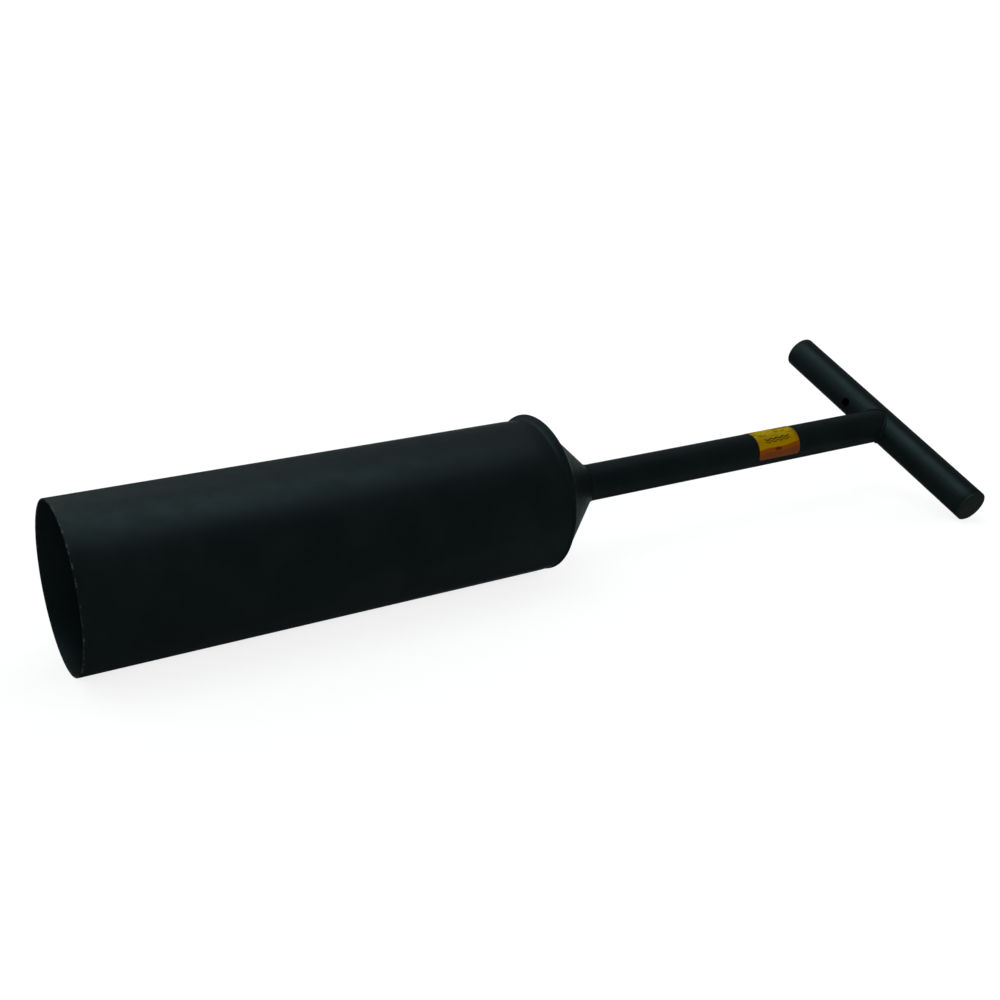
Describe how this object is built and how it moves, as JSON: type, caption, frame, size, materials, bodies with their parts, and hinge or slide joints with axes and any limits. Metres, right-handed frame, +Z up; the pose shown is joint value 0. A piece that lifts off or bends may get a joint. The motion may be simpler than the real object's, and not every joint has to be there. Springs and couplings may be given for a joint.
{
  "type": "clam tube",
  "caption": "Steel digging tube: an open barrel narrows through a cone to a hollow stem and a T handle with a small vent hole, lying on its side.",
  "frame": {"origin": "on the ground under the middle of the tool's bounding box, the tool lying on its barrel", "axes": "+X along the tool from the barrel's mouth to the crossbar, +Z up; the -Y end of the crossbar is the one rolled down to the ground"},
  "size_m": [0.8128, 0.2496, 0.1304],
  "materials": {
    "powder_coat": "satin black powder coat with a faint blue-green cast",
    "coated_weld": "powder coat over weld ripples",
    "plug_plastic": "moulded black polyethylene",
    "label_vinyl": "printed vinyl, yellow over orange"
  },
  "bodies": {
    "root": {"barrel_tube": "powder_coat", "reducer_cone": "powder_coat", "stem_tube": "powder_coat", "crossbar_tube": "powder_coat", "barrel_weld": "coated_weld", "neck_weld": "coated_weld", "saddle_weld": "coated_weld", "end_plug_near": "plug_plastic", "end_plug_far": "plug_plastic", "grip_label": "label_vinyl"}
  },
  "joints": []
}
